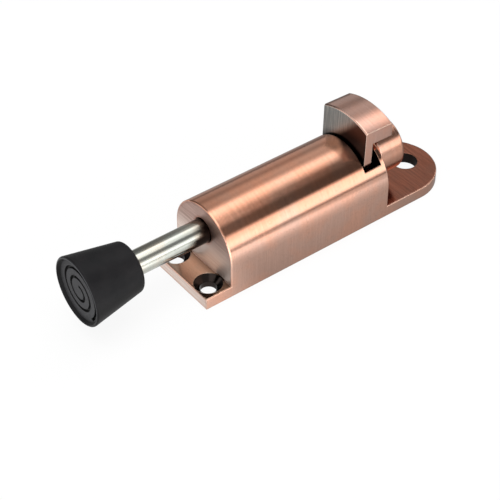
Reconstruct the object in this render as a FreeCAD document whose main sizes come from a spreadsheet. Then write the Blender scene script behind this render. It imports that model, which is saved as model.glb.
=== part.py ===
import FreeCAD, Part
import math
import os
import Sketcher

# Spring door stop, lying on the flat back of its base plate.
# X runs along the plunger, from the rubber tip (-X) to the round end of the base plate (+X).
# X = 0 is the front face of the housing, Y = 0 is the plane of symmetry, Z = 0 is the mounting face.

os.makedirs("parts", exist_ok=True)
doc = FreeCAD.newDocument("spring_door_stop")

# ---------------------------------------------------------------- driving dimensions, millimetres
sheet = doc.addObject("Spreadsheet::Sheet", "dims")
SIZES = {
    # housing casting
    "half_width": 17.5,
    "axis_height": 14.3,
    "housing_length": 77.3,
    "plate_thickness": 4.8,
    "front_flange": 11.6,
    "rear_flange": 36.1,
    "rim_round": 0.6,
    "plate_round": 0.5,
    # screw holes
    "screw_hole_radius": 3.3,
    "screw_hole_inset": 6.0,
    "screw_hole_spacing": 20.8,
    "countersink_radius": 5.6,
    "countersink_depth": 2.2,
    "relief_radius": 6.3,
    "relief_height": 0.7,
    "rear_hole_radius": 5.2,
    "rear_hole_inset": 11.4,
    # plunger line
    "rod_height": 20.9,
    "rod_radius": 4.9,
    "rod_reach": 32.5,
    "running_clearance": 0.08,
    "front_wall": 5.0,
    "mouth_radius": 5.2,
    "front_bore_radius": 5.7,
    "cavity_radius": 8.5,
    "bush_recess": 0.8,
    "bush_flange": 1.5,
    "rear_bush_length": 9.4,
    # cross slot and lever
    "slot_length": 8.3,
    "rear_wall": 2.1,
    "slot_half_width": 14.2,
    "slot_floor": 5.4,
    "foot_groove_depth": 2.4,
    "foot_clearance": 0.12,
    "lever_front_gap": 0.3,
    "lever_lean": 1.5,
    "lever_thickness": 3.7,
    "lever_half_width": 12.5,
    "lever_shoulder": 25.5,
    "lever_foot_half_width": 10.5,
    "lever_arc_height": 13.8,
    "lever_arc_radius": 30.1,
    "lever_edge_bevel": 0.5,
    "lever_hole_clearance": 0.4,
    "hood_reach": 9.5,
    "hood_thickness": 5.3,
    # step knob
    "knob_gap": 0.8,
    "knob_radius": 11.4,
    "knob_length": 12.6,
    "knob_round": 1.8,
    "knob_mouth_bevel": 0.5,
    "knob_thread_radius": 3.0,
    "knob_thread_depth": 8.0,
    "knob_socket_depth": 2.0,
    # rubber tip and the rod's head in it
    "tip_length": 23.1,
    "tip_front_radius": 14.0,
    "tip_rear_radius": 10.0,
    "tip_rear_round": 1.4,
    "tip_front_round": 0.8,
    "tip_rim_width": 1.0,
    "tip_dish_depth": 1.2,
    "tip_dish_slope": 0.9,
    "groove_width": 1.2,
    "groove_depth": 0.8,
    "groove_pitch": 3.7,
    "groove_turns": 2.5,
    "groove_inner_radius": 2.3,
    "groove_last_angle": 135.0,
    "rod_head_radius": 7.0,
    "rod_head_thickness": 3.0,
    "rod_neck_radius": 4.0,
    "rod_neck_length": 4.0,
    "head_cover": 5.0,
    "grip_clearance": 0.05,
    # spring, washer and ring on the rod
    "wire_radius": 0.65,
    "coil_radius": 6.9,
    "coil_turns": 8.0,
    "spring_length": 20.5,
    "washer_radius": 8.1,
    "washer_thickness": 1.2,
    "ring_radius": 6.3,
    "ring_thickness": 1.0,
    "ring_groove_depth": 0.7,
    # lever spring in its blind hole
    "lever_spring_hole_radius": 2.4,
    "lever_spring_hole_depth": 6.5,
    "lever_wire_radius": 0.25,
    "lever_coil_radius": 1.8,
    "lever_coil_turns": 6.0,
    "lever_spring_gap": 0.15,
}
for row, (name, value) in enumerate(SIZES.items(), start=1):
    sheet.set("A%d" % row, name)
    sheet.set("B%d" % row, str(value))
    sheet.setAlias("B%d" % row, name)
doc.recompute()

# ---------------------------------------------------------------- placings that several pieces share
FRONT_END = "-dims.front_flange"
REAR_CENTRE = "dims.housing_length + dims.rear_flange - dims.half_width"
SCREW_X = "dims.screw_hole_inset - dims.front_flange"
REAR_HOLE_X = "dims.housing_length + dims.rear_flange - dims.rear_hole_inset"
SLOT_END = "dims.housing_length - dims.rear_wall"
SLOT_START = SLOT_END + " - dims.slot_length"
LEVER_FRONT = SLOT_START + " + dims.lever_front_gap"
LEVER_BACK = LEVER_FRONT + " + dims.lever_thickness"
FOOT_RADIUS = "dims.lever_thickness / 2"
FOOT_BOTTOM = "dims.slot_floor - dims.foot_groove_depth + dims.foot_clearance"
FOOT_AXIS = FOOT_BOTTOM + " + " + FOOT_RADIUS
NEST_HEIGHT = "(dims.slot_floor + dims.rod_height - dims.cavity_radius) / 2"
TIP_REAR = "-dims.rod_reach"
TIP_FRONT = "-dims.rod_reach - dims.tip_length"
KNOB_FRONT = "dims.housing_length + dims.knob_gap"
SPRING_START = "dims.front_wall + dims.bush_flange"
WASHER_FRONT = SPRING_START + " + dims.spring_length"
WASHER_BACK = WASHER_FRONT + " + dims.washer_thickness"
RING_BACK = WASHER_BACK + " + dims.ring_thickness"
RUN = "dims.rod_radius + dims.running_clearance"


# ---------------------------------------------------------------- small helpers for bodies and sketches
def new_body(label):
    body = doc.addObject("PartDesign::Body", label)
    body.Label = label
    return body


def new_sketch(body, name, plane, lift="0", across="0", up="0"):
    """Sketch on one of the body's origin planes, lifted along the plane's normal."""
    sketch = body.newObject("Sketcher::SketchObject", name)
    role = plane + "_Plane"
    face = [item for item in body.Origin.OriginFeatures if item.Role == role][0]
    sketch.AttachmentSupport = [(face, "")]
    sketch.MapMode = "FlatFace"
    sketch.setExpression("AttachmentOffset.Base.x", across)
    sketch.setExpression("AttachmentOffset.Base.y", up)
    sketch.setExpression("AttachmentOffset.Base.z", lift)
    return sketch


def pin_point(sketch, geo, point, x, y, start):
    """Fix one point of a sketch by its two coordinates, each an expression."""
    for kind, expression, value in (("DistanceX", x, start[0]), ("DistanceY", y, start[1])):
        index = sketch.addConstraint(Sketcher.Constraint(kind, -1, 1, geo, point, value))
        sketch.setExpression("Constraints[%d]" % index, expression)


def outline(sketch, corners):
    """Closed outline of straight edges through corners given as pairs of expressions."""
    count = len(corners)
    starts = []
    for i in range(count):
        angle = 2 * math.pi * i / count
        starts.append((20 + 10 * math.cos(angle), 20 + 10 * math.sin(angle)))
    first = None
    for i in range(count):
        a = FreeCAD.Vector(starts[i][0], starts[i][1], 0)
        b = FreeCAD.Vector(starts[(i + 1) % count][0], starts[(i + 1) % count][1], 0)
        geo = sketch.addGeometry(Part.LineSegment(a, b))
        first = geo if first is None else first
    for i in range(count):
        sketch.addConstraint(Sketcher.Constraint("Coincident", first + i, 2, first + (i + 1) % count, 1))
    for i in range(count):
        pin_point(sketch, first + i, 1, corners[i][0], corners[i][1], starts[i])


def rectangle(sketch, x0, y0, x1, y1):
    outline(sketch, [(x0, y0), (x1, y0), (x1, y1), (x0, y1)])


def circle(sketch, x, y, radius):
    geo = sketch.addGeometry(Part.Circle(FreeCAD.Vector(20, 20, 0), FreeCAD.Vector(0, 0, 1), 5.0))
    pin_point(sketch, geo, 3, x, y, (20, 20))
    index = sketch.addConstraint(Sketcher.Constraint("Radius", geo, 5.0))
    sketch.setExpression("Constraints[%d]" % index, radius)


def pad(body, sketch, name, length, reverse=False, symmetric=False):
    feature = body.newObject("PartDesign::Pad", name)
    feature.Profile = sketch
    feature.setExpression("Length", length)
    feature.Reversed = reverse
    feature.Midplane = symmetric
    sketch.Visibility = False
    doc.recompute()
    return feature


def pocket(body, sketch, name, length=None, reverse=False, symmetric=False):
    before = body.Shape.Volume
    feature = body.newObject("PartDesign::Pocket", name)
    feature.Profile = sketch
    if length is None:
        feature.Type = "ThroughAll"
    else:
        feature.setExpression("Length", length)
    feature.Reversed = reverse
    feature.Midplane = symmetric
    doc.recompute()
    if body.Shape.Volume > before - 1e-3:
        raise RuntimeError(name + " cuts nothing")
    return feature


def revolve(body, sketch, name, axis="H_Axis", cut=False, angle=360.0, reverse=False):
    before = body.Shape.Volume if cut else 0.0
    feature = body.newObject("PartDesign::Groove" if cut else "PartDesign::Revolution", name)
    feature.Profile = sketch
    feature.ReferenceAxis = (sketch, [axis])
    feature.Angle = angle
    feature.Reversed = reverse
    doc.recompute()
    if cut and body.Shape.Volume > before - 1e-3:
        raise RuntimeError(name + " cuts nothing")
    return feature


def dress(body, base, kind, name, size, wanted):
    """Fillet or chamfer the edges of the last feature that wanted() picks."""
    edges = ["Edge%d" % (i + 1) for i, edge in enumerate(base.Shape.Edges) if wanted(edge)]
    if not edges:
        raise RuntimeError(name + " finds no edge")
    feature = body.newObject("PartDesign::" + kind, name)
    feature.Base = (base, edges)
    feature.setExpression("Radius" if kind == "Fillet" else "Size", size)
    doc.recompute()
    return feature


def near(a, b, tolerance=0.01):
    return abs(a - b) < tolerance


D = {name: float(sheet.get(name)) for name in SIZES}
rear_centre_x = D["housing_length"] + D["rear_flange"] - D["half_width"]

# ---------------------------------------------------------------- housing: barrel and base plate, one casting
housing = new_body("housing")

plate_sketch = new_sketch(housing, "plate_outline", "XY")
rectangle(plate_sketch, FRONT_END, "-dims.half_width", REAR_CENTRE, "dims.half_width")
plate = pad(housing, plate_sketch, "base_plate", "dims.plate_thickness")

end_sketch = new_sketch(housing, "rear_end_outline", "XY")
circle(end_sketch, REAR_CENTRE, "0", "dims.half_width")
pad(housing, end_sketch, "rear_round_end", "dims.plate_thickness")

cheek_sketch = new_sketch(housing, "cheek_section", "YZ")
rectangle(cheek_sketch, "-dims.half_width", "0", "dims.half_width", "dims.axis_height")
pad(housing, cheek_sketch, "cheeks", "dims.housing_length")

barrel_sketch = new_sketch(housing, "barrel_section", "YZ")
circle(barrel_sketch, "0", "dims.axis_height", "dims.half_width")
barrel = pad(housing, barrel_sketch, "barrel", "dims.housing_length")

# The barrel's circle reaches below the mounting face, which is cut flat again.
below_sketch = new_sketch(housing, "below_mounting_face", "YZ")
rectangle(below_sketch, "-dims.half_width - 1", "-dims.half_width", "dims.half_width + 1", "0")
flat = pocket(housing, below_sketch, "mounting_face", reverse=True)


def rim_edge(edge):
    box = edge.BoundBox
    on_face = near(box.XMin, 0) and near(box.XMax, 0)
    on_face = on_face or (near(box.XMin, D["housing_length"]) and near(box.XMax, D["housing_length"]))
    return on_face and box.ZMax > D["axis_height"] and box.ZLength > 1


rims = dress(housing, flat, "Fillet", "rim_rounding", "dims.rim_round", rim_edge)


def plate_edge(edge):
    box = edge.BoundBox
    flat_top = near(box.ZMin, D["plate_thickness"]) and near(box.ZMax, D["plate_thickness"])
    in_front = box.XMax < 0.01 and not near(box.XMin, 0)
    behind = box.XMin > D["housing_length"] - 0.01 and not near(box.XMax, D["housing_length"])
    return flat_top and (in_front or behind)


edges = dress(housing, rims, "Fillet", "plate_rounding", "dims.plate_round", plate_edge)

# Stepped bore along the rod: a narrow mouth, the seat of the front bush, then the spring cavity, open at the rear face.
bore_sketch = new_sketch(housing, "bore_profile", "XZ", up="dims.rod_height")
outline(bore_sketch, [
    ("-1", "0"),
    ("dims.housing_length + 1", "0"),
    ("dims.housing_length + 1", "dims.cavity_radius"),
    ("dims.front_wall", "dims.cavity_radius"),
    ("dims.front_wall", "dims.front_bore_radius"),
    ("dims.bush_recess", "dims.front_bore_radius"),
    ("dims.bush_recess", "dims.mouth_radius"),
    ("-1", "dims.mouth_radius"),
])
revolve(housing, bore_sketch, "stepped_bore", cut=True)

# Cross slot for the lever, open at the top of the barrel, with a groove in its floor for the lever's foot.
slot_sketch = new_sketch(housing, "slot_profile", "XZ")
rectangle(slot_sketch, SLOT_START, "dims.slot_floor", SLOT_END, "2 * dims.half_width")
pocket(housing, slot_sketch, "cross_slot", "2 * dims.slot_half_width", symmetric=True)

groove_sketch = new_sketch(housing, "foot_groove_profile", "XZ")
rectangle(groove_sketch, LEVER_FRONT + " - dims.foot_clearance", "dims.slot_floor - dims.foot_groove_depth",
          LEVER_BACK + " + dims.foot_clearance", "dims.slot_floor + 1")
pocket(housing, groove_sketch, "foot_groove", "2 * dims.lever_foot_half_width + 2 * dims.running_clearance",
       symmetric=True)

# Blind hole in the slot's front wall for the lever spring.
nest_sketch = new_sketch(housing, "spring_hole_section", "YZ", lift=SLOT_START)
circle(nest_sketch, "0", NEST_HEIGHT, "dims.lever_spring_hole_radius")
pocket(housing, nest_sketch, "spring_hole", "dims.lever_spring_hole_depth")


# Two countersunk screw holes in the front flange. Each countersink bites a little into the front face.
def screw_hole(name, side):
    sketch = new_sketch(housing, name + "_profile", "XZ", lift="-(%s) * dims.screw_hole_spacing / 2" % side,
                        across=SCREW_X)
    outline(sketch, [
        ("0", "-1"),
        ("dims.screw_hole_radius", "-1"),
        ("dims.screw_hole_radius", "dims.plate_thickness - dims.countersink_depth"),
        ("dims.countersink_radius", "dims.plate_thickness"),
        ("dims.relief_radius", "dims.plate_thickness"),
        ("dims.relief_radius", "dims.plate_thickness + dims.relief_height"),
        ("0", "dims.plate_thickness + dims.relief_height"),
    ])
    revolve(housing, sketch, name, axis="V_Axis", cut=True)


screw_hole("near_screw_hole", "-1")
screw_hole("far_screw_hole", "1")

rear_hole_sketch = new_sketch(housing, "rear_hole_outline", "XY")
circle(rear_hole_sketch, REAR_HOLE_X, "0", "dims.rear_hole_radius")
pocket(housing, rear_hole_sketch, "rear_hole", "dims.plate_thickness", reverse=True)

# ---------------------------------------------------------------- front bush: flanged guide in the front wall
front_bush = new_body("front_bush")
profile = new_sketch(front_bush, "front_bush_profile", "XZ", up="dims.rod_height")
outline(profile, [
    ("dims.bush_recess", RUN),
    (SPRING_START, RUN),
    (SPRING_START, "dims.cavity_radius - dims.running_clearance"),
    ("dims.front_wall", "dims.cavity_radius - dims.running_clearance"),
    ("dims.front_wall", "dims.front_bore_radius - dims.running_clearance"),
    ("dims.bush_recess", "dims.front_bore_radius - dims.running_clearance"),
])
revolve(front_bush, profile, "front_bush_turned")

# ---------------------------------------------------------------- rear bush: second guide, also the plunger's stop
rear_bush = new_body("rear_bush")
profile = new_sketch(rear_bush, "rear_bush_profile", "XZ", up="dims.rod_height")
rectangle(profile, SLOT_START + " - dims.rear_bush_length", RUN,
          SLOT_START, "dims.cavity_radius - dims.running_clearance / 2")
revolve(rear_bush, profile, "rear_bush_turned")

# ---------------------------------------------------------------- plunger rod: one turned bar
rod = new_body("plunger_rod")
profile = new_sketch(rod, "rod_profile", "XZ", up="dims.rod_height")
HEAD_FRONT = TIP_FRONT + " + dims.head_cover"
HEAD_BACK = HEAD_FRONT + " + dims.rod_head_thickness"
NECK_BACK = HEAD_BACK + " + dims.rod_neck_length"
SHOULDER = KNOB_FRONT + " + dims.knob_socket_depth"
ROD_END = SHOULDER + " + dims.knob_thread_depth"
outline(profile, [
    (HEAD_FRONT, "0"),
    (ROD_END, "0"),
    (ROD_END, "dims.knob_thread_radius - 0.5"),
    (ROD_END + " - 0.5", "dims.knob_thread_radius"),
    (SHOULDER, "dims.knob_thread_radius"),
    (SHOULDER, "dims.rod_radius"),
    (RING_BACK, "dims.rod_radius"),
    (RING_BACK, "dims.rod_radius - dims.ring_groove_depth"),
    (WASHER_BACK, "dims.rod_radius - dims.ring_groove_depth"),
    (WASHER_BACK, "dims.rod_radius"),
    (NECK_BACK, "dims.rod_radius"),
    (NECK_BACK, "dims.rod_neck_radius"),
    (HEAD_BACK, "dims.rod_neck_radius"),
    (HEAD_BACK, "dims.rod_head_radius"),
    (HEAD_FRONT + " + 0.8", "dims.rod_head_radius"),
    (HEAD_FRONT, "dims.rod_head_radius - 0.8"),
])
revolve(rod, profile, "rod_turned")

# ---------------------------------------------------------------- rubber tip, moulded over the rod's head
tip = new_body("rubber_tip")
profile = new_sketch(tip, "tip_profile", "XZ", up="dims.rod_height")
RIM_EDGE = "dims.tip_front_radius - dims.tip_rim_width"
outline(profile, [
    (TIP_FRONT + " + dims.tip_dish_depth", "0"),
    (HEAD_FRONT + " - dims.grip_clearance", "0"),
    (HEAD_FRONT + " - dims.grip_clearance", "dims.rod_head_radius + dims.grip_clearance"),
    (HEAD_BACK + " + dims.grip_clearance", "dims.rod_head_radius + dims.grip_clearance"),
    (HEAD_BACK + " + dims.grip_clearance", "dims.rod_neck_radius + dims.grip_clearance"),
    (NECK_BACK + " - dims.grip_clearance", "dims.rod_neck_radius + dims.grip_clearance"),
    (NECK_BACK + " - dims.grip_clearance", "dims.rod_radius + dims.grip_clearance"),
    (TIP_REAR, "dims.rod_radius + dims.grip_clearance"),
    (TIP_REAR, "dims.tip_rear_radius"),
    (TIP_FRONT, "dims.tip_front_radius"),
    (TIP_FRONT, RIM_EDGE),
    (TIP_FRONT + " + dims.tip_dish_depth", RIM_EDGE + " - dims.tip_dish_slope"),
])
tip_turned = revolve(tip, profile, "tip_moulded")


def ring_edge(edge, x, radius):
    box = edge.BoundBox
    return near(box.XMin, x) and near(box.XMax, x) and near(box.ZLength, 2 * radius, 0.05)


tip_rear_x = -D["rod_reach"]
tip_front_x = -D["rod_reach"] - D["tip_length"]
rounded = dress(tip, tip_turned, "Fillet", "tip_rear_rounding", "dims.tip_rear_round",
                lambda edge: ring_edge(edge, tip_rear_x, D["tip_rear_radius"]))
rounded = dress(tip, rounded, "Fillet", "tip_front_rounding", "dims.tip_front_round",
                lambda edge: ring_edge(edge, tip_front_x, D["tip_front_radius"]))

# Grip groove in the floor of the dish: a spiral of half-turns, with centres below and above the axis in turn.
# The last one stops short of the dish's wall.
GROOVE_FLOOR = TIP_FRONT + " + dims.tip_dish_depth + dims.groove_depth"
GROOVE_TOP = TIP_FRONT + " + dims.tip_dish_depth - dims.groove_depth / 2"
half_turns = int(round(2 * D["groove_turns"]))
for i in range(half_turns):
    side = "-" if i % 2 == 0 else "+"
    middle = "dims.groove_inner_radius + %d * dims.groove_pitch / 4" % (2 * i + 1)
    section = new_sketch(tip, "groove_section_%d" % (i + 1), "XZ", up="dims.rod_height %s dims.groove_pitch / 4" % side)
    outline(section, [
        (GROOVE_TOP, middle + " - 0.625 * dims.groove_width"),
        (GROOVE_FLOOR, middle + " - 0.25 * dims.groove_width"),
        (GROOVE_FLOOR, middle + " + 0.25 * dims.groove_width"),
        (GROOVE_TOP, middle + " + 0.625 * dims.groove_width"),
    ])
    revolve(tip, section, "grip_groove_%d" % (i + 1), cut=True, reverse=i % 2 == 1,
            angle=180.0 if i < half_turns - 1 else D["groove_last_angle"])

# ---------------------------------------------------------------- step knob on the rod's thread
knob = new_body("step_knob")
profile = new_sketch(knob, "knob_profile", "XZ", up="dims.rod_height")
outline(profile, [
    (ROD_END + " + 0.5", "0"),
    (KNOB_FRONT + " + dims.knob_length", "0"),
    (KNOB_FRONT + " + dims.knob_length", "dims.knob_radius"),
    (KNOB_FRONT, "dims.knob_radius"),
    (KNOB_FRONT, "dims.rod_radius + dims.grip_clearance"),
    (SHOULDER, "dims.rod_radius + dims.grip_clearance"),
    (SHOULDER, "dims.knob_thread_radius + dims.grip_clearance"),
    (ROD_END + " + 0.5", "dims.knob_thread_radius + dims.grip_clearance"),
])
knob_turned = revolve(knob, profile, "knob_turned")
knob_front_x = D["housing_length"] + D["knob_gap"]
knob_back_x = knob_front_x + D["knob_length"]
rounded = dress(knob, knob_turned, "Fillet", "knob_rounding", "dims.knob_round",
                lambda edge: ring_edge(edge, knob_back_x, D["knob_radius"]))
dress(knob, rounded, "Chamfer", "knob_front_bevel", "dims.knob_mouth_bevel",
      lambda edge: ring_edge(edge, knob_front_x, D["knob_radius"]))

# ---------------------------------------------------------------- washer and retaining ring behind the spring
washer = new_body("spring_washer")
profile = new_sketch(washer, "washer_profile", "XZ", up="dims.rod_height")
rectangle(profile, WASHER_FRONT, "dims.rod_radius + dims.grip_clearance", WASHER_BACK, "dims.washer_radius")
revolve(washer, profile, "washer_turned")

ring = new_body("retaining_ring")
profile = new_sketch(ring, "ring_section", "YZ", lift=WASHER_BACK, up="dims.rod_height")
circle(profile, "0", "0", "dims.ring_radius")
circle(profile, "0", "0", "dims.rod_radius - dims.ring_groove_depth + dims.grip_clearance")
pad(ring, profile, "ring_blank", "dims.ring_thickness")
gap = new_sketch(ring, "ring_gap", "YZ", lift=WASHER_BACK, up="dims.rod_height")
rectangle(gap, "-dims.rod_radius * 0.45", "-dims.ring_radius - 1", "dims.rod_radius * 0.45", "0")
pocket(ring, gap, "ring_mouth", "dims.ring_thickness", reverse=True)

# ---------------------------------------------------------------- release lever: plate, foot and hood
lever = new_body("release_lever")
HOOD_BOTTOM = "dims.lever_arc_height + (dims.lever_arc_radius - dims.hood_thickness) * 0.7"
plate_sketch = new_sketch(lever, "head_outline", "YZ", lift=LEVER_FRONT)
rectangle(plate_sketch, "-dims.lever_half_width", "dims.lever_shoulder",
          "dims.lever_half_width", "dims.lever_arc_height + dims.lever_arc_radius + 1")
pad(lever, plate_sketch, "lever_head", "dims.lever_thickness")
hood_sketch = new_sketch(lever, "hood_outline", "YZ", lift=LEVER_BACK)
rectangle(hood_sketch, "-dims.lever_half_width", HOOD_BOTTOM,
          "dims.lever_half_width", "dims.lever_arc_height + dims.lever_arc_radius + 1")
pad(lever, hood_sketch, "hood_block", "dims.hood_reach")
under_sketch = new_sketch(lever, "hood_underside", "YZ", lift=LEVER_BACK)
circle(under_sketch, "0", "dims.lever_arc_height", "dims.lever_arc_radius - dims.hood_thickness")
pocket(lever, under_sketch, "hood_hollow", "dims.hood_reach", reverse=True)
shank_sketch = new_sketch(lever, "shank_outline", "YZ", lift=LEVER_FRONT)
rectangle(shank_sketch, "-dims.lever_foot_half_width", FOOT_AXIS,
          "dims.lever_foot_half_width", "dims.lever_shoulder + 1")
pad(lever, shank_sketch, "lever_shank", "dims.lever_thickness")
foot_sketch = new_sketch(lever, "foot_section", "XZ")
circle(foot_sketch, LEVER_FRONT + " + " + FOOT_RADIUS, FOOT_AXIS, FOOT_RADIUS)
pad(lever, foot_sketch, "lever_foot", "2 * dims.lever_foot_half_width", symmetric=True)
arc_sketch = new_sketch(lever, "arc_trim", "YZ", lift=LEVER_FRONT + " - 1")
circle(arc_sketch, "0", "dims.lever_arc_height", "dims.lever_arc_radius")
circle(arc_sketch, "0", "dims.lever_arc_height", "dims.lever_arc_radius * 1.5")
arc_cut = pocket(lever, arc_sketch, "arc_top", reverse=True)
hole_sketch = new_sketch(lever, "rod_hole", "YZ", lift=LEVER_FRONT + " - 1")
circle(hole_sketch, "0", "dims.rod_height", "dims.rod_radius + dims.lever_hole_clearance")
hole_cut = pocket(lever, hole_sketch, "rod_hole_cut", reverse=True)

lever_front_x = D["housing_length"] - D["rear_wall"] - D["slot_length"] + D["lever_front_gap"]
hood_end_x = lever_front_x + D["lever_thickness"] + D["hood_reach"]


def lever_rim(edge):
    box = edge.BoundBox
    on_end = near(box.XMin, box.XMax) and (near(box.XMin, lever_front_x) or near(box.XMin, hood_end_x))
    return on_end and box.ZMax > D["lever_arc_height"] + D["lever_arc_radius"] - 0.05 and box.YLength > 5


dress(lever, hole_cut, "Chamfer", "lever_bevel", "dims.lever_edge_bevel", lever_rim)

# At rest the lever leans back about its foot, and so grips the rod.
foot_x = lever_front_x + D["lever_thickness"] / 2
foot_z = D["slot_floor"] - D["foot_groove_depth"] + D["foot_clearance"] + D["lever_thickness"] / 2
lever.Placement = FreeCAD.Placement(FreeCAD.Vector(), FreeCAD.Rotation(FreeCAD.Vector(0, 1, 0), D["lever_lean"]),
                                    FreeCAD.Vector(foot_x, 0, foot_z))


# ---------------------------------------------------------------- coil springs: a six-sided wire, end turns closed
def coil_spring(label, length, coil, wire, turns, stations, x, z):
    """Compression spring along X, lofted from station to station round the coil, with one closed turn at each end."""
    closed = 2.1 * wire
    pitch = (length - 2 * wire - 2 * closed) / (turns - 2)
    sections = []
    for i in range(int(round(turns * stations)) + 1):
        turn = i / stations
        along = wire + closed * (min(turn, 1) + max(turn - turns + 1, 0)) + pitch * min(max(turn - 1, 0), turns - 2)
        angle = 2 * math.pi * turn
        rise = (pitch if 1 <= turn <= turns - 1 else closed) / (2 * math.pi)
        outward = FreeCAD.Vector(0, math.cos(angle), math.sin(angle))
        forward = FreeCAD.Vector(rise, -coil * math.sin(angle), coil * math.cos(angle)).normalize()
        aside = forward.cross(outward)
        centre = FreeCAD.Vector(along, 0, 0) + outward * coil
        ring = [centre + outward * (wire * math.cos(k * math.pi / 3)) + aside * (wire * math.sin(k * math.pi / 3))
                for k in range(6)]
        sections.append(Part.makePolygon(ring + ring[:1]))
    spring = doc.addObject("Part::Feature", label)
    spring.Shape = Part.makeLoft(sections, True, True)
    spring.Label = label
    spring.setExpression("Placement.Base.x", x)
    spring.setExpression("Placement.Base.z", z)
    return spring


return_spring = coil_spring("return_spring", D["spring_length"], D["coil_radius"], D["wire_radius"],
                            D["coil_turns"], 16, SPRING_START, "dims.rod_height")
lever_spring_length = D["lever_spring_hole_depth"] + D["lever_front_gap"] - D["lever_spring_gap"]
lever_spring = coil_spring("lever_spring", lever_spring_length, D["lever_coil_radius"], D["lever_wire_radius"],
                           D["lever_coil_turns"], 12, SLOT_START + " - dims.lever_spring_hole_depth", NEST_HEIGHT)

# ---------------------------------------------------------------- check and write
doc.recompute()
for item in doc.Objects:
    if "Invalid" in item.State or "Error" in item.State:
        raise RuntimeError("%s is not valid: %s" % (item.Name, item.State))

PIECES = [housing, front_bush, rear_bush, rod, tip, knob, washer, ring, lever, return_spring, lever_spring]
for piece in PIECES:
    shape = piece.Shape
    if shape.isNull() or not shape.isValid() or len(shape.Solids) != 1:
        raise RuntimeError("%s has no single valid solid" % piece.Label)
    box = shape.BoundBox
    print("%-15s %8.0f mm3  X %.2f..%.2f  Y %.2f..%.2f  Z %.2f..%.2f" % (
        piece.Label, shape.Volume, box.XMin, box.XMax, box.YMin, box.YMax, box.ZMin, box.ZMax))
    shape.exportStep("parts/%s.step" % piece.Label)
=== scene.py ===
# %% [markdown]
# # A spring door stop in brushed antique copper
# The stop lies on the flat back of its base plate. The barrel hides a steel rod with a rubber tip at the front
# and a step knob at the rear, and the hooded lever in the cross slot lets the rod go.
# The shapes come ready-made from the imported model, so this lesson is mostly about light and metal: how to
# brush it, how to darken its corners with the dark layer and painted shade, and how to make its edges bright
# with wear and a painted highlight.

# %% Load the imported model
import math
import bmesh
import bpy
from mathutils import Matrix, Vector

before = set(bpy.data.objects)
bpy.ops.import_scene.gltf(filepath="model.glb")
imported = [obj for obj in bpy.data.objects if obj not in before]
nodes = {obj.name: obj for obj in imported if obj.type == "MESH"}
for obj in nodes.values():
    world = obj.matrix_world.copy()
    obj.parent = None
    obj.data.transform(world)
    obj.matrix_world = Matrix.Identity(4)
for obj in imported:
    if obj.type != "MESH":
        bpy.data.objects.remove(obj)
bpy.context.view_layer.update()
scene = bpy.context.scene

# %% [markdown]
# ## The camera
# A photographer says where a camera stands by the spot it looks at, how far round and how high it is, how far off
# it stands, and how much it rolls. A Track To constraint could aim it too, but never rolls, and the picture has a
# tiny roll. The long lens keeps the barrel nearly parallel.

# %% Place the camera
looks_at = Vector((0.0116, -0.0136, 0.0143))
camera_round = math.radians(-127.44)
camera_height = math.radians(41.55)
camera_roll = math.radians(-0.09)
camera_distance = 0.545
camera_back = Vector((math.cos(camera_height) * math.cos(camera_round),
                      math.cos(camera_height) * math.sin(camera_round), math.sin(camera_height)))

camera = bpy.data.objects.new("camera", bpy.data.cameras.new("camera"))
scene.collection.objects.link(camera)
camera.matrix_world = (Matrix.Translation(looks_at + camera_distance * camera_back)
                       @ camera_back.to_track_quat("Z", "Y").to_matrix().to_4x4()
                       @ Matrix.Rotation(camera_roll, 4, "Z"))
camera.data.sensor_width = 36.0
camera.data.lens = 105.3
camera.data.clip_start = 0.01
camera.data.clip_end = 20.0
scene.camera = camera
scene.view_settings.view_transform = "Standard"
print("camera stands", camera_distance, "m from the spot it looks at")

# %% [markdown]
# ## Small helpers for node trees
# Every material and the world are node trees. A few helpers keep the cells short: one adds a node and sets its
# plain inputs and properties, one links an output to an input, and one mixes two colours. The Mix node has a set
# of sockets for each kind of value, and only one set is enabled, so that is the set to take.


# %% Helpers that add and link nodes
def add(tree, kind, inputs=None, **settings):
    node = tree.nodes.new(kind)
    for name, value in settings.items():
        setattr(node, name, value)
    for name, value in (inputs or {}).items():
        node.inputs[name].default_value = value
    return node


def link(tree, source, output, target, entry):
    tree.links.new(source.outputs[output], target.inputs[entry])


def grey(level):
    return (level, level, level)


def mix_colours(tree, mask, low, high, kind="RGBA"):
    """Mix from low to high by a mask socket. Low and high are colours or sockets. Returns the mixed socket."""
    mix = add(tree, "ShaderNodeMix", data_type=kind)
    entries = [socket for socket in mix.inputs if socket.enabled]
    tree.links.new(mask, entries[0])
    for entry, value in ((entries[1], low), (entries[2], high)):
        if isinstance(value, tuple):
            entry.default_value = (*value, 1.0) if kind == "RGBA" else value
        else:
            tree.links.new(value, entry)
    return [socket for socket in mix.outputs if socket.enabled][0]


# %% Helpers that make masks
def eased(tree, value, start, end):
    """A mask that goes smoothly from 0 to 1 as a value socket goes from start to end."""
    ease = add(tree, "ShaderNodeMapRange", {"From Min": start, "From Max": end}, interpolation_type="SMOOTHSTEP")
    tree.links.new(value, ease.inputs["Value"])
    return ease.outputs[0]


def zone(tree, source, axis, start, end):
    """A mask that goes from 0 at start to 1 at end along one axis. Source is "Object" in metres, or "Normal"."""
    where = add(tree, "ShaderNodeTexCoord")
    split = add(tree, "ShaderNodeSeparateXYZ")
    link(tree, where, source, split, 0)
    return eased(tree, split.outputs[axis], start, end)


def both(tree, first, second):
    product = add(tree, "ShaderNodeMath", operation="MULTIPLY")
    tree.links.new(first, product.inputs[0])
    tree.links.new(second, product.inputs[1])
    return product.outputs[0]


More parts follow.
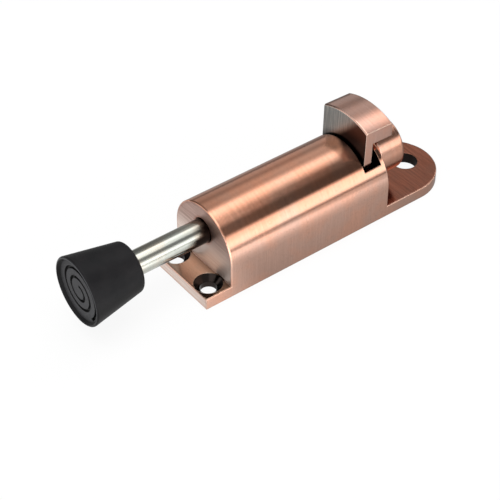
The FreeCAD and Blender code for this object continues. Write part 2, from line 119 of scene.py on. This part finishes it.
# %% [markdown]
# ## Studio light that runs along the barrel
# Bare metal shows hardly any colour of its own: it shows the room. A product photographer lights a cylinder
# with long softboxes beside and above it, and leaves a dark gap between them, which draws one crisp dark line
# down the barrel. Area lamps could do it, but a world that depends on the angle round the X axis is simpler
# to tune. Angle 0 is the near horizon, 90 is overhead and 180 is the far horizon.
# Every box is white and every wall is grey, so the metal's hue is its own and holds in any other studio. Beside the
# thin rod the boxes stand wider apart. Along the barrel the wall between them is darker at the rear. One room turns
# into the next where the direction's X part passes a pair of values, and a plain card fills the way to the front.

# %% The softboxes, each with its name, first and last angle, soft edge in degrees, and level
beside_rod = [
    ("low box", -20, 25, 8, 2.2),
    ("overhead box", 65, 110, 8, 2.2),
    ("dark far side", 115, 200, 6, 0.12)]
beside_barrel = [
    ("low box", 5, 35, 6, 2.0),
    ("overhead box", 90, 120, 15, 1.8),
    ("far wall", 120, 150, 15, 0.7),
    ("dim far side", 155, 200, 12, 0.5)]
rooms_along = [("rod", 0.40, beside_rod), ("barrel's front", 0.10, beside_barrel),
               ("barrel's rear", 0.05, beside_barrel)]
turns_at = [(0.41, 0.44), (0.46, 0.54)]
front_card = 1.0
front_card_from = (-0.44, -0.52)

# %% The world lays each softbox over its wall
world = bpy.data.worlds.new("studio")
scene.world = world
world.use_nodes = True
sky = world.node_tree
sky.nodes.clear()
direction = add(sky, "ShaderNodeTexCoord")
parts = add(sky, "ShaderNodeSeparateXYZ")
link(sky, direction, "Generated", parts, "Vector")
towards_near = add(sky, "ShaderNodeMath", {1: -1.0}, operation="MULTIPLY")
link(sky, parts, "Y", towards_near, 0)
angle = add(sky, "ShaderNodeMath", operation="ARCTAN2")
link(sky, parts, "Z", angle, 0)
link(sky, towards_near, 0, angle, 1)
degrees = add(sky, "ShaderNodeMath", operation="DEGREES")
link(sky, angle, 0, degrees, 0)
rooms = []
for name, wall, boxes in rooms_along:
    light = grey(wall)
    for box, first, last, soft, level in boxes:
        mask = both(sky, eased(sky, degrees.outputs[0], first - soft, first + soft),
                    eased(sky, degrees.outputs[0], last + soft, last - soft))
        light = mix_colours(sky, mask, light, grey(level))
    rooms.append(light)
    print("the room by the", name, "has", [box[0] for box in boxes])
light = rooms[0]
for (start, end), room in zip(turns_at, rooms[1:]):
    light = mix_colours(sky, eased(sky, parts.outputs["X"], start, end), light, room)
light = mix_colours(sky, eased(sky, parts.outputs["X"], *front_card_from), light, grey(front_card))
studio = add(sky, "ShaderNodeBackground", {"Strength": 1.0})
sky.links.new(light, studio.inputs["Color"])

# %% The camera sees a white backdrop instead
backdrop = add(sky, "ShaderNodeBackground", {"Color": (1.0, 1.0, 1.0, 1.0), "Strength": 1.0})
ray = add(sky, "ShaderNodeLightPath")
choose = add(sky, "ShaderNodeMixShader")
link(sky, ray, "Is Camera Ray", choose, 0)
link(sky, studio, 0, choose, 1)
link(sky, backdrop, 0, choose, 2)
sky_out = add(sky, "ShaderNodeOutputWorld")
link(sky, choose, 0, sky_out, "Surface")

# %% [markdown]
# ## A soft lamp overhead
# The world lights every side a little. One wide lamp above adds the soft contact shadow that sets the stop down
# on its table. It is kept out of reflections, because the softboxes already draw the highlights.

# %% Hang the overhead lamp
lamp = bpy.data.objects.new("overhead_lamp", bpy.data.lights.new("overhead_lamp", "AREA"))
scene.collection.objects.link(lamp)
lamp.data.shape = "RECTANGLE"
lamp.data.size = 1.2
lamp.data.size_y = 0.8
lamp.data.energy = 4.0
lamp.location = (-0.1, -0.25, 1.1)
lamp.rotation_euler = (Vector((0.03, 0.0, 0.0)) - lamp.location).to_track_quat("-Z", "Y").to_euler()
lamp.visible_glossy = False

# %% [markdown]
# ## The table
# The floor is one wide plain square. To the camera it glows a little towards white, so that the background is
# white while the lamp's shadow still shows. In the metal it is a glow with painted light and shade: bright on the
# near side, a painted shadow close to the stop, and dim on the far side. Light Path tells the two kinds of ray
# apart.

# %% Lay the floor
floor_mesh = bmesh.new()
bmesh.ops.create_grid(floor_mesh, x_segments=1, y_segments=1, size=3.0)
floor_data = bpy.data.meshes.new("floor")
floor_mesh.to_mesh(floor_data)
floor_mesh.free()
floor = bpy.data.objects.new("floor", floor_data)
scene.collection.objects.link(floor)
print("floor is", [round(size, 1) for size in floor.dimensions[:2]], "m wide")

# %% Paper that is white to the camera
WHITE_SHARE = 0.90
paper = bpy.data.materials.new("floor_paper")
paper.use_nodes = True
tree = paper.node_tree
tree.nodes.clear()
matt = add(tree, "ShaderNodeBsdfDiffuse", {"Color": (0.88, 0.88, 0.88, 1.0)})
glow = add(tree, "ShaderNodeEmission", {"Color": (1.0, 1.0, 1.0, 1.0), "Strength": 1.0})
seen = add(tree, "ShaderNodeLightPath")
to_camera = add(tree, "ShaderNodeMath", {1: WHITE_SHARE}, operation="MULTIPLY")
link(tree, seen, "Is Camera Ray", to_camera, 0)
mixed = add(tree, "ShaderNodeMixShader")
link(tree, to_camera, 0, mixed, 0)
link(tree, matt, 0, mixed, 1)
link(tree, glow, 0, mixed, 2)

# %% The same paper as the metal sees it, a glow with painted light and shade: brighter on the near side and in front, dimmer far off and at the rear
near_side, far_off = (-0.01, -0.09), (-0.30, -1.00)
in_front, at_rear = (0.02, -0.01), (0.06, 0.16)
paper_light = mix_colours(tree, zone(tree, "Object", "Y", *near_side), grey(0.4), grey(1.4))
paper_light = mix_colours(tree, zone(tree, "Object", "Y", *far_off), paper_light, grey(0.3))
by_length = mix_colours(tree, zone(tree, "Object", "X", *in_front), grey(1.0), grey(2.0))
by_length = mix_colours(tree, zone(tree, "Object", "X", *at_rear), by_length, grey(0.5))
combined = add(tree, "ShaderNodeVectorMath", operation="MULTIPLY")
tree.links.new(paper_light, combined.inputs[0])
tree.links.new(by_length, combined.inputs[1])
shown = add(tree, "ShaderNodeEmission", {"Strength": 1.0})
link(tree, combined, 0, shown, "Color")
by_ray = add(tree, "ShaderNodeMixShader")
link(tree, seen, "Is Glossy Ray", by_ray, 0)
link(tree, mixed, 0, by_ray, 1)
link(tree, shown, 0, by_ray, 2)
paper_out = add(tree, "ShaderNodeOutputMaterial")
link(tree, by_ray, 0, paper_out, "Surface")
floor.data.materials.append(paper)

# %% [markdown]
# ## Brushing, as a node group
# The plating was brushed across the stop: round the barrel, down its sides, across the flanges and up and down
# the lever. So every brush line is a noise that changes fast along one axis and slowly along the other two.
# Faces that look along X need their lines turned, and the face's own normal tells which they are. On the lever
# those lines stand upright, and on the ends of the housing they lie level, which Level Ends asks for.
# The group is built once, and each metal places it with its own scales.


# %% Helpers that make and place a node group
def new_group(name, entries, exits):
    group = bpy.data.node_groups.new(name, "ShaderNodeTree")
    for label, value in entries:
        socket = group.interface.new_socket(label, in_out="INPUT", socket_type="NodeSocketFloat")
        socket.default_value = value
    for label in exits:
        group.interface.new_socket(label, in_out="OUTPUT", socket_type="NodeSocketFloat")
    return group, add(group, "NodeGroupInput"), add(group, "NodeGroupOutput")


def place_group(tree, group, values=None):
    node = tree.nodes.new("ShaderNodeGroup")
    node.node_tree = group
    for name, value in (values or {}).items():
        node.inputs[name].default_value = value
    return node


# %% The group "brushing": which faces look along X
brushing, asked, answer = new_group(
    "brushing", [("Across", 3000.0), ("Along", 60.0), ("Level Ends", 0.0)], ["Streaks", "Faces End"])
facing = add(brushing, "ShaderNodeTexCoord")
normal_parts = add(brushing, "ShaderNodeSeparateXYZ")
link(brushing, facing, "Normal", normal_parts, 0)
end_on = add(brushing, "ShaderNodeMath", operation="ABSOLUTE")
link(brushing, normal_parts, "X", end_on, 0)
is_end = add(brushing, "ShaderNodeMath", {1: 0.75}, operation="GREATER_THAN")
link(brushing, end_on, 0, is_end, 0)
link(brushing, is_end, 0, answer, "Faces End")

# %% The group "brushing": noise stretched into lines
stretch = []
for fast_axis in ("X", "Y", "Z"):
    scale = add(brushing, "ShaderNodeCombineXYZ")
    for axis in ("X", "Y", "Z"):
        link(brushing, asked, "Across" if axis == fast_axis else "Along", scale, axis)
    stretch.append(scale.outputs[0])
stretched = add(brushing, "ShaderNodeVectorMath", operation="MULTIPLY")
link(brushing, facing, "Object", stretched, 0)
on_ends = mix_colours(brushing, asked.outputs["Level Ends"], stretch[1], stretch[2], kind="VECTOR")
turned = mix_colours(brushing, is_end.outputs[0], stretch[0], on_ends, kind="VECTOR")
brushing.links.new(turned, stretched.inputs[1])
fine = add(brushing, "ShaderNodeTexNoise", {"Scale": 1.0, "Detail": 4.0, "Roughness": 0.7})
link(brushing, stretched, 0, fine, "Vector")
wider = add(brushing, "ShaderNodeVectorMath", {"Scale": 0.22}, operation="SCALE")
link(brushing, stretched, 0, wider, 0)
coarse = add(brushing, "ShaderNodeTexNoise", {"Scale": 1.0, "Detail": 3.0, "Roughness": 0.6})
link(brushing, wider, 0, coarse, "Vector")
share = add(brushing, "ShaderNodeMix", {0: 0.12}, data_type="FLOAT")
link(brushing, fine, "Fac", share, 2)
link(brushing, coarse, "Fac", share, 3)
link(brushing, share, 0, answer, "Streaks")
print("brushing puts out", [item.name for item in brushing.interface.items_tree if item.in_out == "OUTPUT"])

# %% [markdown]
# ## Edge wear and dark corners, as node groups
# Hands and the last polish rub the dark layer off the edges, and the pale edge colour is partly a painted
# highlight. The Bevel node gives the normal of a rounded edge, and where that differs from the true normal there
# is an edge. Ambient Occlusion finds corners and the gaps beside other pieces. The dark colour laid there is partly
# the dark layer left in corners and partly painted shade, and beside another piece it is a painted shadow. Both
# work on any mesh, with no painted texture.

# %% The edge group, for edge wear and a painted edge highlight
edge_wear_and_highlight, asked, answer = new_group("edge_wear_and_highlight", [("Width", 0.0005), ("Sharpness", 12.0)], ["Mask"])
rounded = add(edge_wear_and_highlight, "ShaderNodeBevel", samples=6)
link(edge_wear_and_highlight, asked, "Width", rounded, "Radius")
true_normal = add(edge_wear_and_highlight, "ShaderNodeNewGeometry")
alike = add(edge_wear_and_highlight, "ShaderNodeVectorMath", operation="DOT_PRODUCT")
link(edge_wear_and_highlight, rounded, "Normal", alike, 0)
link(edge_wear_and_highlight, true_normal, "Normal", alike, 1)
unlike = add(edge_wear_and_highlight, "ShaderNodeMath", {0: 1.0}, operation="SUBTRACT")
link(edge_wear_and_highlight, alike, "Value", unlike, 1)
sharp = add(edge_wear_and_highlight, "ShaderNodeMath", operation="MULTIPLY", use_clamp=True)
link(edge_wear_and_highlight, unlike, 0, sharp, 0)
link(edge_wear_and_highlight, asked, "Sharpness", sharp, 1)
link(edge_wear_and_highlight, sharp, 0, answer, "Mask")


# %% The groups "dark_corners" and "dark_nearby"
def corner_group(name, own_piece_only):
    group, asked, answer = new_group(name, [("Reach", 0.006), ("Depth", 1.5)], ["Mask"])
    shade = add(group, "ShaderNodeAmbientOcclusion", samples=8, only_local=own_piece_only)
    link(group, asked, "Reach", shade, "Distance")
    closed = add(group, "ShaderNodeMath", {0: 1.0}, operation="SUBTRACT", use_clamp=True)
    link(group, shade, "AO", closed, 1)
    deep = add(group, "ShaderNodeMath", operation="MULTIPLY", use_clamp=True)
    link(group, closed, 0, deep, 0)
    link(group, asked, "Depth", deep, 1)
    link(group, deep, 0, answer, "Mask")
    return group


# Corner darkening is partly the dark layer and partly painted shade; darkening beside other pieces is painted
# shadow.
dark_corners = corner_group("dark_corners", True)
dark_nearby = corner_group("dark_nearby", False)

# %% [markdown]
# ## Places on a piece
# Some colours belong to one place: the rear flange is painted dark, as painted shade and a painted dark
# reflection, and the rod is painted dark where it enters the bore, as painted shade and a painted reflection of
# the dark mouth. A place is a mask made from the position or the normal along one axis, and two masks are
# multiplied. These places belong to the piece, so the colour stays where it is from any side.


# %% A round place, and finishes laid over a place
def round_place(tree, x, y, radius):
    """A mask that is 1 within a radius of an upright axis, and of the same axis mirrored across Y = 0."""
    where = add(tree, "ShaderNodeTexCoord")
    mirrored = add(tree, "ShaderNodeVectorMath", operation="ABSOLUTE")
    centre = add(tree, "ShaderNodeVectorMath", {1: (x, 0.0, 0.0)}, operation="SUBTRACT")
    link(tree, where, "Object", centre, 0)
    link(tree, centre, 0, mirrored, 0)
    shifted = add(tree, "ShaderNodeVectorMath", {1: (0.0, y, 0.0)}, operation="SUBTRACT")
    link(tree, mirrored, 0, shifted, 0)
    flat = add(tree, "ShaderNodeVectorMath", {1: (1.0, 1.0, 0.0)}, operation="MULTIPLY")
    link(tree, shifted, 0, flat, 0)
    distance = add(tree, "ShaderNodeVectorMath", operation="LENGTH")
    link(tree, flat, 0, distance, 0)
    return eased(tree, distance.outputs["Value"], radius, radius - 0.0002)


def cover(material, mask, entry, value):
    """Lay another colour or roughness over what the shader has, where the mask is 1."""
    tree = material.node_tree
    socket = tree.nodes["Principled BSDF"].inputs[entry]
    under = socket.links[0].from_socket
    tree.links.new(mix_colours(tree, mask, under, value), socket)


def tone(material, mask, factor):
    """Multiply the colour that the shader has by a factor for each channel, where the mask is 1."""
    tree = material.node_tree
    product = add(tree, "ShaderNodeVectorMath", {1: factor}, operation="MULTIPLY")
    tree.links.new(tree.nodes["Principled BSDF"].inputs["Base Color"].links[0].from_socket, product.inputs[0])
    cover(material, mask, "Base Color", product.outputs[0])


# %% [markdown]
# ## Antique copper
# The housing, lever and knob are cast, plated with copper, darkened, and brushed back until the high parts shine.
# The colour goes from dark brown in the corners, which is partly the dark layer and partly painted shade, through
# copper in the open, to pale copper on the edges, which is partly wear and partly a painted highlight, with small
# dark specks that the brush left. The grooves are far too fine to model, so the shader's anisotropy
# stretches each highlight across them. It needs a tangent that points across the grooves: along X on the sides,
# and along Y or Z on the ends, whichever lies across their lines.


# %% A brushed metal material
def brushed_metal(name, dark, plain, bright, corner, across, along, roughness, anisotropy, groove, wear, corners,
                  depth=1.3, speck=(0.5, 0.5, 0.5), specks=0.0, level_ends=False):
    material = bpy.data.materials.new(name)
    material.use_nodes = True
    tree = material.node_tree
    tree.nodes.clear()
    out = add(tree, "ShaderNodeOutputMaterial")
    metal = add(tree, "ShaderNodeBsdfPrincipled", {"Metallic": 1.0, "Anisotropic": anisotropy})
    link(tree, metal, 0, out, "Surface")

    lines = place_group(tree, brushing, {"Across": across, "Along": along, "Level Ends": float(level_ends)})
    lines.name = "lines"
    contrast = add(tree, "ShaderNodeMapRange", {"From Min": 0.33, "From Max": 0.67})
    link(tree, lines, "Streaks", contrast, "Value")
    colour = mix_colours(tree, contrast.outputs[0], dark, plain)

    where = add(tree, "ShaderNodeTexCoord")
    clouds = add(tree, "ShaderNodeTexNoise", {"Scale": 60.0, "Detail": 3.0, "Roughness": 0.6})
    link(tree, where, "Object", clouds, "Vector")
    thickness = eased(tree, clouds.outputs["Fac"], 0.38, 0.62)
    tint = mix_colours(tree, thickness, (1.04, 0.97, 0.93), (0.93, 0.99, 1.03))
    tinted = add(tree, "ShaderNodeVectorMath", operation="MULTIPLY")
    tree.links.new(colour, tinted.inputs[0])
    tree.links.new(tint, tinted.inputs[1])
    colour = tinted.outputs[0]
    dots = add(tree, "ShaderNodeTexNoise", {"Scale": 1500.0, "Detail": 2.0, "Roughness": 0.8})
    link(tree, where, "Object", dots, "Vector")
    few = add(tree, "ShaderNodeMapRange", {"From Min": 0.56, "From Max": 0.72, "To Max": specks})
    link(tree, dots, "Fac", few, "Value")
    colour = mix_colours(tree, few.outputs[0], colour, speck)

    # Pale edges: partly edge wear, partly a painted highlight.
    edges = place_group(tree, edge_wear_and_highlight, {"Width": wear, "Sharpness": 10.0})
    colour = mix_colours(tree, edges.outputs[0], colour, bright)
    # Dark corners: on copper partly the dark layer and partly painted shade, on nickel and steel painted shade.
    patina_and_shade = place_group(tree, dark_corners, {"Reach": corners, "Depth": depth})
    colour = mix_colours(tree, patina_and_shade.outputs[0], colour, corner)
    tree.links.new(colour, metal.inputs["Base Color"])

    rough = add(tree, "ShaderNodeMapRange", {"To Min": roughness[0], "To Max": roughness[1]})
    link(tree, lines, "Streaks", rough, "Value")
    link(tree, rough, "Result", metal, "Roughness")
    soft_edge = add(tree, "ShaderNodeBevel", {"Radius": wear}, samples=4)
    grooves = add(tree, "ShaderNodeBump", {"Strength": groove, "Distance": 0.00002})
    link(tree, soft_edge, "Normal", grooves, "Normal")
    link(tree, lines, "Streaks", grooves, "Height")
    link(tree, grooves, "Normal", metal, "Normal")
    across_ends = (0.0, 0.0, 1.0) if level_ends else (0.0, 1.0, 0.0)
    tree.links.new(mix_colours(tree, lines.outputs["Faces End"], (1.0, 0.0, 0.0), across_ends, kind="VECTOR"),
                   metal.inputs["Tangent"])
    return material


def coat(names, material):
    for name in names:
        for slot in nodes[name].material_slots:
            slot.material = material
    print(material.name, "is on", names)


# %% Copper on the step knob, and the same for the lever and the housing
def copper(name, dark=(0.75, 0.43, 0.32), plain=(0.90, 0.53, 0.40), roughness=(0.11, 0.17), level_ends=False):
    return brushed_metal(
        name, dark=dark, plain=plain, bright=(0.98, 0.74, 0.60),
        corner=(0.07, 0.025, 0.015), across=4200.0, along=60.0, roughness=roughness, anisotropy=0.7,
        groove=0.15, wear=0.0005, corners=0.004, speck=(0.40, 0.23, 0.17), specks=0.35,
        level_ends=level_ends)


knob_copper = copper("knob_copper", (0.65, 0.35, 0.25), (0.75, 0.42, 0.31), (0.22, 0.30))
coat(["step_knob"], knob_copper)

# %% [markdown]
# The lever's flat front was finished on a belt, up and down. It is greyer and duller than the barrel, and is
# painted dark brown to near black low down and at its near end, as a painted dark reflection and painted shade,
# and near black where it meets the barrel, as a painted shadow. The ends of the housing are duller too, with a
# darker band along their edge, and are painted paler low down and darker high up, as painted light and shade.
# The barrel's round top is made redder than its straight sides. The front flange is a little paler than the
# barrel, and the rear flange is painted dark, as painted shade and a painted dark reflection, which the brush marks
# lighten in lines.

# %% Copper on the lever
lever_copper = copper("lever_copper", (0.60, 0.34, 0.26), (0.72, 0.42, 0.33))
tree = lever_copper.node_tree
front_face = zone(tree, "Normal", "X", -0.80, -0.95)
fine_lines = eased(tree, tree.nodes["lines"].outputs["Streaks"], 0.38, 0.62)
grey_face = mix_colours(tree, fine_lines, (0.26, 0.27, 0.26), (0.66, 0.64, 0.60))
# Painted dark reflection and shade: the face goes to near black low down and at its near end.
height = zone(tree, "Object", "Z", 0.041, 0.034)
painted_dark_face = mix_colours(tree, height, (0.09, 0.05, 0.04), (0.012, 0.008, 0.010))
where = add(tree, "ShaderNodeTexCoord")
slant = add(tree, "ShaderNodeVectorMath", {1: (0.0, 1.0, 1.0)}, operation="DOT_PRODUCT")
link(tree, where, "Object", slant, 0)
near_side = eased(tree, slant.outputs["Value"], 0.0395, 0.0340)
face_colour = mix_colours(tree, near_side, grey_face, painted_dark_face)
cover(lever_copper, front_face, "Base Color", face_colour)
cover(lever_copper, front_face, "Roughness", (0.30, 0.30, 0.30))
# Painted shadow: the lever face is painted near black where it meets the barrel.
painted_barrel_shadow = place_group(tree, dark_nearby, {"Reach": 0.0035, "Depth": 1.5})
cover(lever_copper, both(tree, front_face, painted_barrel_shadow.outputs[0]), "Base Color", (0.015, 0.010, 0.012))
coat(["release_lever"], lever_copper)

# %% Places on the housing, in metres
plate_top = (0.0060, 0.0052)
housing_front = (0.0010, 0.0)
housing_back = (0.0772, 0.0780)
above_flanges = (0.010, 0.014)
face_heights = (0.012, 0.024)
screw_hole = (-0.0056, 0.0104, 0.0058)
rear_hole = (0.1020, 0.0, 0.0056)
hole_walls = (0.0056, 0.0050)
slot_front, slot_back = (0.06682, 0.06690), (0.07528, 0.07520)
slot_near, slot_far = (-0.0143, -0.0141), (0.0143, 0.0141)

# %% Copper on the housing
housing_copper = copper("housing_copper", level_ends=True)
tree = housing_copper.node_tree
end_face = zone(tree, "Normal", "X", -0.80, -0.95)
face_lines = eased(tree, tree.nodes["lines"].outputs["Streaks"], 0.38, 0.62)
# Painted light and shade: the ends of the housing are painted paler low down and darker high up.
low_face = mix_colours(tree, face_lines, (0.80, 0.62, 0.54), (1.00, 0.86, 0.78))
high_face = mix_colours(tree, face_lines, (0.35, 0.22, 0.18), (0.64, 0.44, 0.38))
face_colour = mix_colours(tree, zone(tree, "Object", "Z", *face_heights), low_face, high_face)
cover(housing_copper, end_face, "Base Color", face_colour)
cover(housing_copper, end_face, "Roughness", (0.40, 0.40, 0.40))
edge_band = place_group(tree, edge_wear_and_highlight, {"Width": 0.0024, "Sharpness": 5.0})
tone(housing_copper, both(tree, end_face, edge_band.outputs[0]), (0.78, 0.55, 0.46))
# The barrel's round top is made redder and darker than its straight sides.
barrel_top = both(tree, zone(tree, "Normal", "Z", 0.25, 0.70), zone(tree, "Object", "Z", *above_flanges))
tone(housing_copper, barrel_top, (0.95, 0.80, 0.70))
flange_top = both(tree, zone(tree, "Normal", "Z", 0.80, 0.98), zone(tree, "Object", "Z", *plate_top))
front_flange = both(tree, flange_top, zone(tree, "Object", "X", *housing_front))
tone(housing_copper, front_flange, (1.00, 1.20, 1.20))
# Painted shade and a painted dark reflection: the rear flange is painted dark brown.
rear_flange = both(tree, flange_top, zone(tree, "Object", "X", *housing_back))
tone(housing_copper, rear_flange, (0.30, 0.20, 0.17))
brush_marks = eased(tree, tree.nodes["lines"].outputs["Streaks"], 0.44, 0.58)
tone(housing_copper, both(tree, rear_flange, brush_marks), (1.40, 1.40, 1.40))

# %% Dark walls in the holes, with the dark layer and painted shade, and painted shade in the slot
low = zone(tree, "Object", "Z", *hole_walls)
not_level = zone(tree, "Normal", "Z", 0.98, 0.90)
# Painted shade over the dark layer: the walls of the holes are painted near black.
for x, y, radius in (screw_hole, rear_hole):
    wall = both(tree, both(tree, round_place(tree, x, y, radius), low), not_level)
    cover(housing_copper, wall, "Base Color", (0.040, 0.030, 0.027))
# Painted shade: the inside of the slot is painted near black.
in_slot = both(tree, zone(tree, "Object", "X", *slot_front), zone(tree, "Object", "X", *slot_back))
across = both(tree, zone(tree, "Object", "Y", *slot_near), zone(tree, "Object", "Y", *slot_far))
cover(housing_copper, both(tree, in_slot, across), "Base Color", (0.050, 0.030, 0.026))
coat(["housing"], housing_copper)

# %% [markdown]
# ## Satin nickel
# The rod is turned steel with a thin nickel plating. Its turning marks run round it, as the brush lines
# run round the barrel, so the same groups make it with paler colours and finer, shallower lines. Beside the bore
# the lower half of the rod is painted near black, as painted shade and a painted reflection of the dark mouth,
# where an Ambient Occlusion node that looks at the other pieces finds the housing close.

# %% Nickel for the rod and the washer
satin_nickel = brushed_metal(
    "satin_nickel", dark=(0.54, 0.52, 0.45), plain=(0.65, 0.63, 0.55), bright=(0.85, 0.84, 0.80),
    corner=(0.10, 0.09, 0.08), across=6000.0, along=40.0, roughness=(0.14, 0.19), anisotropy=0.3,
    groove=0.1, wear=0.0003, corners=0.002)
tree = satin_nickel.node_tree
# Painted shade and reflection: near the bore the rod's lower half is painted near black.
nearby = add(tree, "ShaderNodeAmbientOcclusion", {"Distance": 0.011}, samples=8)
hidden = add(tree, "ShaderNodeMath", {0: 1.0}, operation="SUBTRACT")
link(tree, nearby, "AO", hidden, 1)
where = add(tree, "ShaderNodeTexCoord")
split = add(tree, "ShaderNodeSeparateXYZ")
link(tree, where, "Normal", split, 0)
lower = add(tree, "ShaderNodeMath", {1: 5.0}, operation="MULTIPLY")
link(tree, hidden, 0, lower, 0)
balance = add(tree, "ShaderNodeMath", operation="SUBTRACT")
link(tree, lower, 0, balance, 0)
link(tree, split, "Z", balance, 1)
painted_bore_shade = both(tree, eased(tree, balance.outputs[0], 0.15, 0.40), zone(tree, "Object", "X", -0.0250, -0.0200))
cover(satin_nickel, painted_bore_shade, "Base Color", (0.012, 0.009, 0.008))
coat(["plunger_rod", "spring_washer"], satin_nickel)

# %% Plain steel for the springs and the ring
steel_wire = brushed_metal(
    "steel_wire", dark=(0.34, 0.34, 0.35), plain=(0.48, 0.48, 0.49), bright=(0.70, 0.70, 0.70),
    corner=(0.10, 0.10, 0.10), across=2600.0, along=400.0, roughness=(0.28, 0.38), anisotropy=0.0,
    groove=0.15, wear=0.0001, corners=0.001)
coat(["retaining_ring", "return_spring", "lever_spring"], steel_wire)

# %% [markdown]
# ## Rubber and plastic
# Moulded rubber is nearly black and matt, with a fine pebble from the mould and a little grey dust on its
# high spots. Its front face, which presses on the floor in use, is greyer. Its underside is painted darker and its
# grooves darkest, as painted shade.
# The bushes are smoother. One function makes both, with different grain and gloss.


# %% A moulded material
def moulded(name, dark, pale, worn, grain_scale, grain_height, roughness):
    material = bpy.data.materials.new(name)
    material.use_nodes = True
    tree = material.node_tree
    tree.nodes.clear()
    out = add(tree, "ShaderNodeOutputMaterial")
    body = add(tree, "ShaderNodeBsdfPrincipled", {"Specular IOR Level": 0.16})
    link(tree, body, 0, out, "Surface")
    place = add(tree, "ShaderNodeTexCoord")
    cloud = add(tree, "ShaderNodeTexNoise", {"Scale": 120.0, "Detail": 3.0, "Roughness": 0.6})
    link(tree, place, "Object", cloud, "Vector")
    spread = add(tree, "ShaderNodeMapRange", {"From Min": 0.35, "From Max": 0.7})
    link(tree, cloud, "Fac", spread, "Value")
    colour = mix_colours(tree, spread.outputs[0], dark, pale)
    edges = place_group(tree, edge_wear_and_highlight, {"Width": 0.0005, "Sharpness": 5.0})
    colour = mix_colours(tree, edges.outputs[0], colour, worn)
    tree.links.new(colour, body.inputs["Base Color"])
    rough = add(tree, "ShaderNodeMapRange", {"To Min": roughness[0], "To Max": roughness[1]})
    link(tree, cloud, "Fac", rough, "Value")
    link(tree, rough, "Result", body, "Roughness")
    pebble = add(tree, "ShaderNodeTexNoise", {"Scale": grain_scale, "Detail": 2.0})
    link(tree, place, "Object", pebble, "Vector")
    bump = add(tree, "ShaderNodeBump", {"Strength": 0.3, "Distance": grain_height})
    link(tree, pebble, "Fac", bump, "Height")
    link(tree, bump, "Normal", body, "Normal")
    return material


# %% Rubber on the tip, with its rubbed front face, and painted shade underneath and in the grooves
tip_rubber = moulded(
    "tip_rubber", dark=(0.006, 0.006, 0.007), pale=(0.012, 0.011, 0.012), worn=(0.018, 0.017, 0.018),
    grain_scale=2600.0, grain_height=0.0001, roughness=(0.42, 0.58))
tree = tip_rubber.node_tree
rubbed = zone(tree, "Normal", "X", -0.80, -0.95)
cover(tip_rubber, rubbed, "Base Color", (0.068, 0.070, 0.075))
# Painted shade: the underside of the tip is painted darker.
tone(tip_rubber, zone(tree, "Normal", "Z", 0.25, -0.15), (0.45, 0.42, 0.42))
# Painted shade: the grooves and the dish wall are painted darkest.
groove_dark = place_group(tree, dark_corners, {"Reach": 0.0030, "Depth": 2.3})
cover(tip_rubber, groove_dark.outputs[0], "Base Color", (0.004, 0.004, 0.004))
coat(["rubber_tip"], tip_rubber)

# %% Plastic on the bushes
bush_plastic = moulded(
    "bush_plastic", dark=(0.018, 0.018, 0.018), pale=(0.028, 0.028, 0.028), worn=(0.05, 0.05, 0.05),
    grain_scale=3500.0, grain_height=0.00004, roughness=(0.30, 0.40))
coat(["front_bush", "rear_bush"], bush_plastic)
